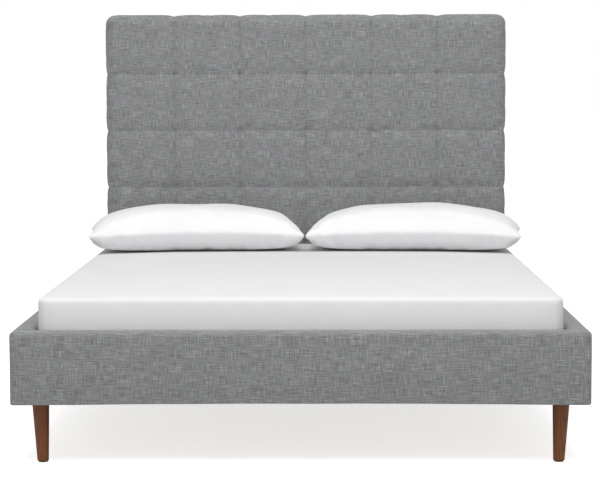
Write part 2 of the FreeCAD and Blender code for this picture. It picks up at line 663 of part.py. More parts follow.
def make_headboard(bolts, ties):
    back = ("head_low + cloth", PANEL_TOP)
    panel = slab("panel_blank", (f"-({PANEL_X})", PANEL_X), (f"{PANEL_BACK} - panel_thick", PANEL_BACK), back)
    subpart(cut("headboard_panel", panel, ties), "headboard_panel")
    depth = (PANEL_BACK, BATTEN_BACK)
    subpart(slab("headboard_top_batten", (f"-({PANEL_X})", PANEL_X), depth, (f"{PANEL_TOP} - batten_wide", PANEL_TOP)),
            "headboard_top_batten")
    for side, sign in SIDES.items():
        subpart(slab(f"headboard_{side}_batten", on_side(sign, (f"{PANEL_X} - batten_wide", PANEL_X)), depth,
                     ("head_low + cloth", f"{PANEL_TOP} - batten_wide")), f"headboard_{side}_batten")
        strut = slab(f"strut_{side}", on_side(sign, ("strut_out - strut_wide / 2", "strut_out + strut_wide / 2")), depth,
                     ("strut_low", f"{PANEL_TOP} - batten_wide"))
        subpart(cut(f"headboard_{side}_strut", strut, bolts), f"headboard_{side}_strut")

    def front_edge(inset):
        face = size("bed_long") / 2 - size("head_rail_thick") - size("head_thick") + inset
        top = size("head_top") - inset
        return [
            (lambda m, w: abs(w.y) > 0.9 and m.z > top - 1, size("head_corner") - inset),
            (lambda m, w: abs(m.y - face) < 0.1 and m.z > size("head_low") + 10, size("head_round") - inset),
        ]

    skin = fillet("headboard_skin", slab("headboard_skin_block", HEAD_X, (HEAD_FACE, f"{HEAD_RAIL_FACE} - cloth"),
                                         ("head_low", "head_top")), front_edge(0))
    core = fillet("headboard_core", slab("headboard_core_block", shrunk(HEAD_X), (f"{HEAD_FACE} + cloth", BATTEN_BACK),
                                         ("head_low + cloth", "head_top - cloth")), front_edge(size("cloth")))
    inner = slab("headboard_inner", (f"-({PANEL_X})", PANEL_X), (f"{PANEL_BACK} - panel_thick", BATTEN_BACK), back)
    subpart(cut("headboard_foam", cut("headboard_pad", core, inner), ties), "headboard_foam")
    hole = slab("headboard_back_hole", (f"-({HEAD_X[1]} - flange)", f"{HEAD_X[1]} - flange"),
                (f"{BATTEN_BACK} - 1", HEAD_RAIL_FACE), ("head_low + flange", "head_top - flange"))
    feet = group("strut_holes", [
        slab(f"strut_hole_{side}", on_side(sign, ("strut_out - strut_wide / 2", "strut_out + strut_wide / 2")), HEAD_Y,
             ("strut_low", "head_low + flange + 1")) for side, sign in SIDES.items()])
    cover = cut("headboard_sleeve", skin, core)
    opened = cut("headboard_opened", cover, hole)
    subpart(cut("headboard_cover", opened, cut("strut_holes_back", feet, slab(
        "strut_front_keep", HEAD_X, (HEAD_FACE, PANEL_BACK), ("strut_low - 1", "head_top")))), "headboard_cover")
    backing = slab("back_cloth", (f"-({PANEL_X})", PANEL_X), (f"{HEAD_RAIL_FACE} - cloth", HEAD_RAIL_FACE),
                   ("head_low + 10", "head_top - 14"))
    subpart(cut("headboard_back_cover", backing, bolts), "headboard_back_cover")


# Bedding

def make_mattress():
    core_x = ("-mattress_wide / 2", "mattress_wide / 2")
    sheet_y = (SHEET_FOOT, f"{SHEET_FOOT} + mattress_long + 2 * cloth")
    sheet_z = (SLAT_TOP, "mattress_top")

    def rounding(inset):
        return [
            (upright, size("mattress_corner") - inset),
            (lambda m, w: abs(w.z) < 0.1, size("mattress_edge") - inset),
        ]

    skin = fillet("sheet_skin",
                  slab("sheet_block", (f"{core_x[0]} - cloth", f"{core_x[1]} + cloth"), sheet_y, sheet_z), rounding(0))
    core = fillet("mattress_core",
                  slab("mattress_block", core_x, shrunk(sheet_y), shrunk(sheet_z)), rounding(size("cloth")))
    opening = slab("sheet_opening", (f"{core_x[0]} + sheet_tuck", f"{core_x[1]} - sheet_tuck"),
                   (f"{sheet_y[0]} + sheet_tuck", f"{sheet_y[1]} - sheet_tuck"), (f"{SLAT_TOP} - 1", f"{SLAT_TOP} + cloth + 1"))
    subpart(core, "mattress_core")
    subpart(cut("fitted_sheet", cut("sheet_sleeve", skin, core), opening), "fitted_sheet")


def pillow_body(name, inset):
    """A plump lens: a small resting face, the seam all round at mid height, and a small crown."""
    pillow = new_body(name)
    levels = ((f"{inset}", "pillow_sole"), ("pillow_seam", "0"), (f"pillow_tall - {inset}", "pillow_crown"))
    profiles = []
    for number, (lift, draw) in enumerate(levels):
        profile = sketch_on(pillow, f"{name}_level_{number}", "XY_Plane", lift)
        rectangle(profile, f"pillow_long - 2 * ({draw}) - 2.4 * {inset}", f"pillow_wide - 2 * ({draw}) - 2.4 * {inset}")
        profiles.append(profile)
    loft(pillow, profiles, ruled=True)
    return pillow


def make_pillow(side, sign):
    outer, insert = pillow_body(f"pillow_{side}_outer", "0"), pillow_body(f"pillow_insert_{side}", "case_thick")
    turn = FreeCAD.Rotation(FreeCAD.Vector(0, 0, 1), -sign * size("pillow_turn"))
    for body in (outer, insert):
        put(body, f"{sign} * pillow_out", "pillow_back", "mattress_top", turn)
    subpart(insert, f"pillow_insert_{side}")
    subpart(cut(f"pillowcase_{side}", outer, insert), f"pillowcase_{side}")


def check_and_export():
    doc.recompute()
    bad = [o.Label for o in doc.Objects if {"Invalid", "Error"} & set(o.State)]
    if bad:
        raise RuntimeError(f"failed features: {bad}")
    labels = [part.Label for part in subparts]
    if len(labels) != len(set(labels)):
        raise RuntimeError("two sub-parts share a label")
    os.makedirs("parts", exist_ok=True)
    for part in subparts:
        if part.Shape.isNull() or not part.Shape.isValid() or not part.Shape.Solids:
            raise RuntimeError(f"{part.Label} has no valid shape")
        part.Shape.exportStep(f"parts/{part.Label}.step")
    print(len(subparts), "sub-parts,", sum(len(part.Shape.Solids) for part in subparts), "solids")


hanger_bolts = make_hanger_bolts()
rail_bolts = make_rail_bolts()
headboard_bolts = make_headboard_bolts()
frame_screws = make_frame_screws()
frame_fixings = group("frame_fixings", [hanger_bolts, rail_bolts, headboard_bolts, frame_screws])
make_foot_rail(frame_fixings)
for side, sign in SIDES.items():
    make_side_rail(side, sign, frame_fixings)
make_head_rail(frame_fixings)
make_ledgers(frame_fixings)
make_corner_blocks(frame_fixings)
for end, y_sign in ENDS.items():
    for side, x_sign in SIDES.items():
        make_leg(end, side, x_sign, y_sign)
make_leg_fittings(hanger_bolts)
for number in range(1, SLATS + 1):
    make_slat(number)
make_webbing()
make_centre_beam(hanger_bolts)
make_beam_hangers()
make_centre_leg(hanger_bolts)
tuft_ties = make_tuft_ties()
make_headboard(headboard_bolts, tuft_ties)
make_mattress()
for side, sign in SIDES.items():
    make_pillow(side, sign)
check_and_export()
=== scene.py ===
import math

import bmesh
import bpy
from mathutils import Matrix, Vector, noise


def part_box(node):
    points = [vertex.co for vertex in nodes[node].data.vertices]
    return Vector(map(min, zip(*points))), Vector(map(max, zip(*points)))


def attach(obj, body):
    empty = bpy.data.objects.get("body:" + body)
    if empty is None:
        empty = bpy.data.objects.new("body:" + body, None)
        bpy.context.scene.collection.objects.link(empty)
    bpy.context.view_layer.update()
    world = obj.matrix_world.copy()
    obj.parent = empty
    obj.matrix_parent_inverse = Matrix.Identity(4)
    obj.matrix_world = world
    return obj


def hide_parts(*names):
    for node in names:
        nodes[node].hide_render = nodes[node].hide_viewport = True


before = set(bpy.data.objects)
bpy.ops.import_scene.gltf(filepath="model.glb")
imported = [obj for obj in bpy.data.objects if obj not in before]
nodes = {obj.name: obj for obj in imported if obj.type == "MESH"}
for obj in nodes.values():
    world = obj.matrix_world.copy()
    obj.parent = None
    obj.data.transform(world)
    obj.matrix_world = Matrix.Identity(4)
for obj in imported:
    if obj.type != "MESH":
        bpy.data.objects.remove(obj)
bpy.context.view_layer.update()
scene = bpy.context.scene
mm = 0.001


# Mesh helpers

def smoothStep(value, low, high):
    share = min(max((value - low) / (high - low), 0.0), 1.0)
    return share * share * (3 - 2 * share)


def boxMesh(low, high):
    bm = bmesh.new()
    bmesh.ops.create_cube(bm, size=1)
    bmesh.ops.scale(bm, vec=high - low, verts=bm.verts)
    bmesh.ops.translate(bm, vec=(low + high) / 2, verts=bm.verts)
    return bm


def bevelWhere(bm, test, radius, segments):
    # rounds the edges whose middle and direction pass the test
    picked = []
    for edge in bm.edges:
        start, end = (vert.co for vert in edge.verts)
        if test((start + end) / 2, (end - start).normalized()):
            picked.append(edge)
    bmesh.ops.bevel(bm, geom=picked, offset=radius, offset_type="OFFSET", affect="EDGES",
                    segments=segments, profile=0.5, material=-1, clamp_overlap=True)


def sliceAt(bm, axis, places):
    # cuts edge loops through the whole mesh, square to one axis
    normal = Vector([1.0 if i == axis else 0.0 for i in range(3)])
    for place in places:
        bmesh.ops.bisect_plane(bm, geom=bm.verts[:] + bm.edges[:] + bm.faces[:], dist=1e-5,
                               plane_co=normal * place, plane_no=normal)


def slicePlate(bm, faces, axis, places):
    # cuts only these faces, so that a large flat one becomes a grid
    normal = Vector([1.0 if i == axis else 0.0 for i in range(3)])
    for place in places:
        edges = {edge for face in faces for edge in face.edges}
        verts = {vert for face in faces for vert in face.verts}
        cut = bmesh.ops.bisect_plane(bm, geom=[*verts, *edges, *faces], dist=1e-5,
                                     plane_co=normal * place, plane_no=normal)["geom"]
        faces = [item for item in cut if isinstance(item, bmesh.types.BMFace)]
    return faces


def evenPlaces(low, high, pitch):
    count = max(1, round((high - low) / pitch))
    return [low + (high - low) * i / count for i in range(1, count)]


def boxUv(bm, name="Cloth"):
    # a metric UV map that lays the weave flat on the side that each face looks to
    layer = bm.loops.layers.uv.get(name) or bm.loops.layers.uv.new(name)
    for face in bm.faces:
        x, y, z = (abs(part) for part in face.normal)
        for loop in face.loops:
            co = loop.vert.co
            if z > x and z > y:
                loop[layer].uv = (co.x, co.y)
            elif y > x:
                loop[layer].uv = (co.x, co.z)
            else:
                loop[layer].uv = (co.y, co.z)


def newPiece(bm, name, material, smooth=True):
    bmesh.ops.recalc_face_normals(bm, faces=bm.faces[:])
    bm.normal_update()
    boxUv(bm)
    mesh = bpy.data.meshes.new(name)
    bm.to_mesh(mesh)
    bm.free()
    mesh.materials.append(material)
    mesh.polygons.foreach_set("use_smooth", [smooth] * len(mesh.polygons))
    piece = bpy.data.objects.new(name, mesh)
    scene.collection.objects.link(piece)
    return piece


def smoothSurface(piece):
    modifier = piece.modifiers.new("smoothSurface", "SUBSURF")
    modifier.levels = modifier.render_levels = 1


def moveVerts(piece, move):
    # moves each vertex by what the function says for its place and its normal
    mesh = piece.data
    normals = [vert.normal.copy() for vert in mesh.vertices]
    for vert, normal in zip(mesh.vertices, normals):
        vert.co = move(vert.co.copy(), normal)
    mesh.update()


def puffCloth(piece, held, values, caps):
    # inflates a piece with the cloth solver and keeps the result
    # held runs from 0, free, to 1, fixed; caps says how far each vertex may travel
    start = [vert.co.copy() for vert in piece.data.vertices]
    group = piece.vertex_groups.new(name="held")
    for index, weight in enumerate(held):
        if weight > 0:
            group.add([index], weight, "REPLACE")
    cloth = piece.modifiers.new("puff", "CLOTH")
    settings = cloth.settings
    settings.quality = values["quality"]
    settings.mass = values["mass"]
    settings.tension_stiffness = settings.compression_stiffness = values["stretch"]
    settings.shear_stiffness = values["shear"]
    settings.bending_stiffness = values["bend"]
    settings.use_pressure = True
    settings.uniform_pressure_force = values["pressure"]
    settings.shrink_min = -values["slack"]
    settings.vertex_group_mass = "held"
    settings.effector_weights.gravity = 0
    cloth.collision_settings.use_collision = False
    cloth.point_cache.frame_start = 1
    cloth.point_cache.frame_end = values["frames"]
    for step in range(1, values["frames"] + 1):
        scene.frame_set(step)
    puffed = piece.evaluated_get(bpy.context.evaluated_depsgraph_get()).data
    places = [vert.co.copy() for vert in puffed.vertices]
    for index, (vert, was, now) in enumerate(zip(piece.data.vertices, start, places)):
        travel = now - was
        if travel.length > caps[index]:
            travel *= caps[index] / travel.length
        vert.co = was + travel
    piece.modifiers.remove(cloth)
    piece.vertex_groups.clear()
    scene.frame_set(1)
    piece.data.update()


# Materials

def addNode(tree, kind, **settings):
    # a shader node. Capitalised settings are its sockets, the others its options
    node = tree.nodes.new("ShaderNode" + kind)
    for key, value in settings.items():
        socket = key.replace("_", " ")
        if key[0].isupper() or key.startswith("in"):
            target = node.inputs[int(key[2:])] if key.startswith("in") else node.inputs[socket]
            if isinstance(value, bpy.types.NodeSocket):
                tree.links.new(value, target)
            else:
                target.default_value = value
        else:
            setattr(node, key, value)
    return node


def math2(tree, operation, first, second=0.0, third=0.0):
    return addNode(tree, "Math", operation=operation, in0=first, in1=second, in2=third).outputs[0]


def ramp(tree, factor, stops):
    node = addNode(tree, "ValToRGB", Fac=factor)
    elements = node.color_ramp.elements
    while len(elements) < len(stops):
        elements.new(0.5)
    for element, (place, colour) in zip(elements, stops):
        element.position = place
        element.color = (*colour, 1.0)
    return node.outputs["Color"]


def shader(name, **settings):
    material = bpy.data.materials.new(name)
    material.use_nodes = True
    tree = material.node_tree
    principled = tree.nodes["Principled BSDF"]
    for key, value in settings.items():
        principled.inputs[key.replace("_", " ")].default_value = value
    return material, tree, principled


def place(tree, source="Object", scale=(1, 1, 1), turn=(0, 0, 0)):
    # coordinates in metres: the piece's own space, or its cloth map
    if source == "Object":
        coordinates = addNode(tree, "TexCoord").outputs["Object"]
    else:
        coordinates = addNode(tree, "UVMap", uv_map=source).outputs["UV"]
    return addNode(tree, "Mapping", Vector=coordinates, Scale=scale, Rotation=turn).outputs["Vector"]


def noiseTexture(tree, vector, scale=1.0, detail=2.0, rough=0.5):
    return addNode(tree, "TexNoise", Vector=vector, Scale=scale, Detail=detail,
                   Roughness=rough).outputs["Fac"]


def grey(level, warm=0.0):
    return (level * (1 + warm), level, level * (1 - warm))


weaveValues = {
    "threads": 640.0,          # threads in a metre
    "slubLong": 26.0,          # slubs in a metre of thread
    "dark": 0.118,
    "middle": 0.234,
    "light": 0.40,
    "threadHeight": 0.35 * mm,
}


def heatherWeave():
    # mid-grey basket weave: every thread has its own grey, with light and dark slubs both ways
    values = weaveValues
    material, tree, principled = shader("heatherWeave", Roughness=0.92, Sheen_Weight=0.25,
                                        Sheen_Roughness=0.45)
    principled.inputs["Specular IOR Level"].default_value = 0.2
    threads, slubs = values["threads"], values["slubLong"]
    across = noiseTexture(tree, place(tree, "Cloth", (slubs, threads, 1)), detail=3, rough=0.6)
    upwards = noiseTexture(tree, place(tree, "Cloth", (threads, slubs, 1)), detail=3, rough=0.6)
    slubAcross = noiseTexture(tree, place(tree, "Cloth", (slubs * 0.8, threads * 0.58, 1)),
                              detail=2, rough=0.7)
    slubUp = noiseTexture(tree, place(tree, "Cloth", (threads * 0.52, slubs, 1)),
                          detail=2, rough=0.7)
    mottle = noiseTexture(tree, place(tree, "Cloth", (9, 14, 1)), detail=3, rough=0.6)
    uv = addNode(tree, "SeparateXYZ", Vector=place(tree, "Cloth")).outputs
    waves = [math2(tree, "SINE", math2(tree, "MULTIPLY", uv[i], math.pi * threads)) for i in (0, 1)]
    overUnder = math2(tree, "MULTIPLY", waves[0], waves[1])
    pick = math2(tree, "MULTIPLY_ADD", overUnder, 0.9, 0.5)
    thread = addNode(tree, "Mix", data_type="FLOAT", in0=pick, in2=across, in3=upwards).outputs[0]
    slub = math2(tree, "MULTIPLY_ADD", slubAcross, 0.54, math2(tree, "MULTIPLY", slubUp, 0.46))
    both = math2(tree, "MULTIPLY_ADD", slub, 0.62, math2(tree, "MULTIPLY", thread, 0.30))
    tone = math2(tree, "MULTIPLY_ADD", mottle, 0.05, both)
    colour = ramp(tree, tone, [(0.375, grey(values["dark"], -0.01)),
                               (0.50, grey(values["middle"], -0.012)),
                               (0.61, grey(values["light"], -0.01))])
    tree.links.new(colour, principled.inputs["Base Color"])
    height = math2(tree, "MULTIPLY_ADD", math2(tree, "ABSOLUTE", overUnder), 0.6, slub)
    bump = addNode(tree, "Bump", Strength=0.55, Distance=values["threadHeight"], Height=height)
    tree.links.new(bump.outputs["Normal"], principled.inputs["Normal"])
    return material


def whiteCotton(name, level, crumple):
    # percale: a very fine plain weave, faint slubs and soft creases
    material, tree, principled = shader(name, Roughness=0.8, Sheen_Weight=0.2, Sheen_Roughness=0.4)
    principled.inputs["Specular IOR Level"].default_value = 0.25
    threads = noiseTexture(tree, place(tree, "Cloth", (40, 1500, 1)), detail=2)
    crossed = noiseTexture(tree, place(tree, "Cloth", (1500, 40, 1)), detail=2)
    soft = noiseTexture(tree, place(tree, "Object", (6, 6, 6)), detail=3)
    weave = math2(tree, "ADD", threads, crossed)
    tone = math2(tree, "MULTIPLY_ADD", weave, 0.25, math2(tree, "MULTIPLY", soft, 0.5))
    colour = ramp(tree, tone, [(0.35, (level * 0.955, level * 0.957, level * 0.968)),
                               (0.65, (level, level, level * 1.008))])
    tree.links.new(colour, principled.inputs["Base Color"])
    creases = noiseTexture(tree, place(tree, "Object", (14, 14, 14)), detail=5, rough=0.55)
    height = math2(tree, "MULTIPLY_ADD", weave, 0.03, creases)
    bump = addNode(tree, "Bump", Strength=crumple, Distance=6 * mm, Height=height)
    tree.links.new(bump.outputs["Normal"], principled.inputs["Normal"])
    return material


def timber(name, axis, dark, light, rough=0.6, rings=24.0):
    # sawn or turned wood with its grain along one axis
    material, tree, principled = shader(name, Roughness=rough)
    stretch = [1.0, 1.0, 1.0]
    stretch["xyz".index(axis)] = 0.06
    vector = place(tree, "Object", tuple(stretch))
    warp = noiseTexture(tree, vector, scale=9, detail=3)
    bent = addNode(tree, "VectorMath", operation="MULTIPLY_ADD",
                   in0=(0.05, 0.05, 0.05), in1=warp, in2=vector)
    growth = addNode(tree, "TexWave", Vector=bent.outputs[0], Scale=rings, Distortion=3.5, Detail=3.0,
                     Detail_Scale=2.0, wave_type="RINGS", rings_direction=axis.upper()).outputs["Fac"]
    fibreScale = tuple(part * 420 if part == 1.0 else 9 for part in stretch)
    fibres = noiseTexture(tree, place(tree, "Object", fibreScale), detail=4, rough=0.7)
    tone = math2(tree, "MULTIPLY_ADD", growth, 0.35, math2(tree, "MULTIPLY", fibres, 0.65))
    tree.links.new(ramp(tree, tone, [(0.25, dark), (0.75, light)]), principled.inputs["Base Color"])
    gloss = addNode(tree, "MapRange", Value=fibres, To_Min=rough - 0.08, To_Max=rough + 0.12)
    tree.links.new(gloss.outputs["Result"], principled.inputs["Roughness"])
    bump = addNode(tree, "Bump", Strength=0.35, Distance=0.3 * mm, Height=fibres)
    tree.links.new(bump.outputs["Normal"], principled.inputs["Normal"])
    return material


def metal(name, level, rough, metallic, grain=0.05):
    # plated or powder-coated steel with a fine orange peel and handling marks
    material, tree, principled = shader(name, Metallic=metallic)
    marks = noiseTexture(tree, place(tree, "Object", (60, 60, 60)), detail=5, rough=0.65)
    fine = noiseTexture(tree, place(tree, "Object", (900, 900, 900)), detail=2)
    tree.links.new(ramp(tree, marks, [(0.3, grey(level * 0.85)), (0.7, grey(level * 1.1, 0.01))]),
                   principled.inputs["Base Color"])
    gloss = addNode(tree, "MapRange", Value=marks, To_Min=rough - 0.1, To_Max=rough + 0.15)
    tree.links.new(gloss.outputs["Result"], principled.inputs["Roughness"])
    bump = addNode(tree, "Bump", Strength=0.3, Distance=grain * mm, Height=fine)
    tree.links.new(bump.outputs["Normal"], principled.inputs["Normal"])
    return material


def matted(name, dark, light, scale, height, source="Object", stretch=(1, 1, 1), sheen=0.1):
    # felt, tape, twine, foam and non-woven cloth: mottled, rough and slightly hairy
    material, tree, principled = shader(name, Roughness=0.95, Sheen_Weight=sheen)
    vector = place(tree, source, tuple(scale * part for part in stretch))
    fluff = noiseTexture(tree, vector, detail=4, rough=0.7)
    tree.links.new(ramp(tree, fluff, [(0.3, dark), (0.7, light)]), principled.inputs["Base Color"])
    bump = addNode(tree, "Bump", Strength=0.6, Distance=height, Height=fluff)
    tree.links.new(bump.outputs["Normal"], principled.inputs["Normal"])
    return material


heather = heatherWeave()
sheetCotton = whiteCotton("sheetCotton", 0.72, 0.10)
pillowCotton = whiteCotton("pillowCotton", 0.82, 0.36)
walnutLacquer = timber("walnutLacquer", "z", (0.115, 0.034, 0.004), (0.215, 0.066, 0.008), 0.5, 60)
pineTones = (0.42, 0.24, 0.11), (0.68, 0.47, 0.27)
pineAcross = timber("pineAcross", "x", *pineTones)
pineAlong = timber("pineAlong", "y", *pineTones)
pineUpright = timber("pineUpright", "z", *pineTones)
slatBirch = timber("slatBirch", "x", (0.55, 0.38, 0.21), (0.76, 0.60, 0.40), 0.5)
plywoodFace = timber("plywoodFace", "x", (0.46, 0.29, 0.15), (0.66, 0.48, 0.29), 0.65, 8)
zincPlate = metal("zincPlate", 0.62, 0.32, 1.0)
blackPowder = metal("blackPowder", 0.03, 0.5, 0.0, 0.12)
brownFelt = matted("brownFelt", (0.03, 0.02, 0.014), (0.10, 0.07, 0.05), 900, 0.4 * mm, sheen=0.5)
polyTape = matted("polyTape", grey(0.55), grey(0.78), 1, 0.4 * mm, stretch=(800, 220, 60))
greyTwine = matted("greyTwine", grey(0.10), grey(0.26), 700, 0.3 * mm)
dustCloth = matted("dustCloth", grey(0.010), grey(0.026), 500, 0.25 * mm, "Cloth", sheen=0.3)
blackNylon = matted("blackNylon", grey(0.020), grey(0.032), 260, 0.05 * mm)
ticking = matted("ticking", grey(0.66), grey(0.80), 1, 1.2 * mm, "Cloth", (160, 160, 1), 0.2)
print("materials made")


# Tufted headboard

headboardValues = {
    "frontRound": 30 * mm,
    "cornerRound": 34 * mm,
    "backRound": 6 * mm,
    "pitch": 10.5 * mm,           # mesh between the seams
    "beside": 8 * mm,             # the nearest even mesh line to a seam
    "stitch": 2.5 * mm,           # the mesh lines that make its crease
    "seamReach": 2.6 * mm,        # cloth this near to a seam is held
    "sidePitch": 14 * mm,
    "backPitch": 70 * mm,
    "seamDeep": 2.4 * mm,
    "seamSoft": 24 * mm,          # width of the valley beside a seam
    "rowStitch": 0.8 * mm,        # the crease that the stitches pull in
    "columnStitch": 3.4 * mm,
    "drag": 2.6 * mm,             # wrinkles that fan out from each crossing
    "dragReach": 45 * mm,
    "tuftDeep": 9 * mm,           # further in, where two seams cross
    "tuftRadius": 14 * mm,
    "topScallop": 5 * mm,         # seams pulled in over the top and the sides
    "sideScallop": 5 * mm,
    "scallopSoft": 20 * mm,
    "toggle": 11 * mm,
    "flange": 26 * mm,
    "frontCap": 4 * mm,
    "edgeCap": 2.5 * mm,
    "cloth": {"quality": 5, "mass": 0.25, "stretch": 22, "shear": 8, "bend": 0.4, "pressure": 2.4,
              "slack": 0.010, "frames": 18},
}


def tuftLines():
    # the seams' places across and up, read from the ties that hold them
    low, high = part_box("tuft_ties")
    inset = Vector((1, 1, 1)) * headboardValues["toggle"]
    low, high = low + inset, high - inset
    across = [low.x + (high.x - low.x) * i / 4 for i in range(5)]
    upwards = [low.z + (high.z - low.z) * i / 3 for i in range(4)]
    return across, upwards


def seamPlaces(lines, low, high):
    # mesh lines: close together beside each seam, even between them
    values = headboardValues
    beside, stitch = values["beside"], values["stitch"]
    stops = [low, *lines, high]
    places = []
    for start, end in zip(stops, stops[1:]):
        places += evenPlaces(start + beside, end - beside, values["pitch"])
        places += [start + beside, end - beside]
    for line in lines:
        places += [line - stitch, line, line + stitch]
    return sorted(places)


def headboardUpholstery():
    values = headboardValues
    low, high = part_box("headboard_cover")
    across, upwards = tuftLines()
    bm = boxMesh(low, high)
    bevelWhere(bm, lambda mid, way: abs(way.y) > 0.9 and mid.z > high.z - mm, values["cornerRound"], 5)
    bevelWhere(bm, lambda mid, way: mid.y < low.y + mm, values["frontRound"], 5)
    bevelWhere(bm, lambda mid, way: mid.y > high.y - mm, values["backRound"], 2)
    back = [face for face in bm.faces if face.calc_center_median().y > high.y - 0.1 * mm]
    bmesh.ops.delete(bm, geom=back, context="FACES_ONLY")
    sliceAt(bm, 0, seamPlaces(across, low.x, high.x))
    sliceAt(bm, 2, seamPlaces(upwards, low.z, high.z))
    sliceAt(bm, 1, evenPlaces(low.y + values["frontRound"], high.y, values["sidePitch"]))
    piece = newPiece(bm, "headboardUpholstery", heather)
    soft, seam = values["seamSoft"], values["seamReach"]
    held, caps = [], []

    def settle(co, normal):
        nearX = min(abs(co.x - line) for line in across)
        nearZ = min(abs(co.z - line) for line in upwards)
        near = min(nearX, nearZ)
        frontness = 1 - smoothStep(co.y, low.y + 2 * mm, low.y + values["frontRound"])
        backness = smoothStep(co.y, high.y - 12 * mm, high.y - mm)
        crown = (1 - math.exp(-nearX / soft)) * (1 - math.exp(-nearZ / soft))
        row = values["sideScallop"] * math.exp(-nearZ / values["scallopSoft"]) * abs(normal.x)
        column = values["topScallop"] * math.exp(-nearX / values["scallopSoft"]) * max(normal.z, 0)
        cross = math.exp(-(nearX ** 2 + nearZ ** 2) / values["tuftRadius"] ** 2)
        crease = max(values["rowStitch"] * (1 - smoothStep(nearZ, 0.2 * mm, 2.4 * mm)),
                     values["columnStitch"] * (1 - smoothStep(nearX, 0.2 * mm, 2.4 * mm)))
        reach = math.exp(-math.hypot(nearX, nearZ) / values["dragReach"])
        drag = values["drag"] * reach * noise.noise(Vector((co.x * 12, 0, co.z * 95)))
        dent = values["seamDeep"] * (1 - crown) + values["tuftDeep"] * cross + crease + drag
        inset = frontness * dent
        inset += (1 - frontness) * (1 - backness) * max(row, column)
        onSeam = near < seam and (frontness > 0.02 or nearX < seam and normal.z > 0.3
                                  or nearZ < seam and abs(normal.x) > 0.3)
        held.append(1.0 if onSeam or backness > 0.4 or co.z < low.z + 2 * mm else 0.0)
        caps.append(values["edgeCap"] + (values["frontCap"] - values["edgeCap"]) * frontness)
        return co - normal * inset

    moveVerts(piece, settle)
    puffCloth(piece, held, values["cloth"], caps)
    closeBack(piece, values["flange"], values["backPitch"])
    smoothSurface(piece)
    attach(piece, "frame")
    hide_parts("headboard_cover", "headboard_foam")


def closeBack(piece, flange, pitch):
    # turns the cover onto the back, with a hem that the dust cloth then hides
    bm = bmesh.new()
    bm.from_mesh(piece.data)
    rim = [edge for edge in bm.edges if edge.is_boundary]
    filled = bmesh.ops.holes_fill(bm, edges=rim, sides=0)["faces"]
    bmesh.ops.inset_region(bm, faces=filled, thickness=flange, use_even_offset=True)
    for axis in (0, 2):
        places = [vert.co[axis] for vert in bm.verts]
        filled = slicePlate(bm, filled, axis, evenPlaces(min(places), max(places), pitch))
    bmesh.ops.recalc_face_normals(bm, faces=bm.faces[:])
    bm.normal_update()
    boxUv(bm)
    bm.to_mesh(piece.data)
    bm.free()
    piece.data.polygons.foreach_set("use_smooth", [True] * len(piece.data.polygons))


headboardUpholstery()
print("headboard upholstered")


# Padded rails

railValues = {
    "pitch": 22 * mm,
    "topRound": 14 * mm,
    "endRound": 18 * mm,
    "bottomRound": 3 * mm,
    "hem": 290 * mm,              # height of the cover's hem inside the rail
    "hemStep": 2 * mm,
    "recess": 8 * mm,
    "keptEnd": 40 * mm,           # no recess where another rail meets this one
    "keptFade": 20 * mm,
    "crisp": 1.2 * mm,            # holds the corners that butt against another rail
    "swell": 2.5 * mm,
    "tuckIn": 3 * mm,
    "tuckTop": 0.45,              # share of the height where it ends
    "arch": 5 * mm,
    "archTop": 0.4,
    "ripple": 0.8 * mm,
}


def railPiece(name, cover, inward, outerCorners, arch, replaced):
    # one padded rail. Inward is the direction, +1 or -1 on an axis, that its inner side faces
    values = railValues
    low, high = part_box(cover)
    axis, sign = inward
    centre, half = (low + high) / 2, (high - low) / 2
    bm = boxMesh(low, high)
    bevelWhere(bm, lambda mid, way: abs(way.z) > 0.9 and outerCorners(mid - centre),
               values["endRound"], 4)
    bevelWhere(bm, lambda mid, way: mid.z > high.z - mm, values["topRound"], 4)
    bevelWhere(bm, lambda mid, way: mid.z < low.z + mm, values["bottomRound"], 2)
    long = 1 - axis
    crisp = values["crisp"]
    inner = high[axis] - crisp if sign > 0 else low[axis] + crisp
    sliceAt(bm, long, evenPlaces(low[long], high[long], values["pitch"])
            + [low[long] + crisp, high[long] - crisp])
    sliceAt(bm, 2, evenPlaces(low.z, high.z, values["pitch"])
            + [values["hem"], values["hem"] - values["hemStep"]])
    sliceAt(bm, axis, evenPlaces(low[axis], high[axis], values["pitch"]) + [inner])
    piece = newPiece(bm, name, heather)

    def settle(co, normal):
        upright = (co.z - low.z) / (high.z - low.z)
        belly = math.sin(math.pi * min(max(upright, 0), 1))
        outward = -sign * normal[axis]
        wave = noise.noise(Vector((co.x * 6, co.y * 6, co.z * 9)))
        moved = co + normal * wave * values["ripple"]
        if outward > 0.3:
            tuck = values["tuckIn"] * (1 - smoothStep(upright, 0, values["tuckTop"]))
            moved[axis] -= sign * (values["swell"] * belly - tuck)
        elif outward < -0.5 and co.z < values["hem"] - mm:
            fromEnd = half[long] - abs(co[long] - centre[long])
            kept = values["keptEnd"]
            moved[axis] -= sign * values["recess"] * smoothStep(fromEnd, kept, kept + values["keptFade"])
        if arch:
            share = abs(co[long] - centre[long]) / half[long]
            lowness = 1 - smoothStep(upright, 0, values["archTop"])
            moved.z += values["arch"] * (1 - share ** 2) * lowness
        return moved

    moveVerts(piece, settle)
    smoothSurface(piece)
    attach(piece, "frame")
    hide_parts(*replaced)


railPiece("footRailUpholstery", "foot_rail_cover", (1, 1), lambda off: off.y < 0, True,
          ["foot_rail_cover", "foot_rail_padding"])
for side, sign in (("left", -1), ("right", 1)):
    railPiece(f"{side}RailUpholstery", f"{side}_rail_cover", (0, -sign),
              lambda off: off.y > 0 and off.x * sign > 0, False,
              [f"{side}_rail_cover", f"{side}_rail_padding"])
print("rails upholstered")


# Mattress and fitted sheet

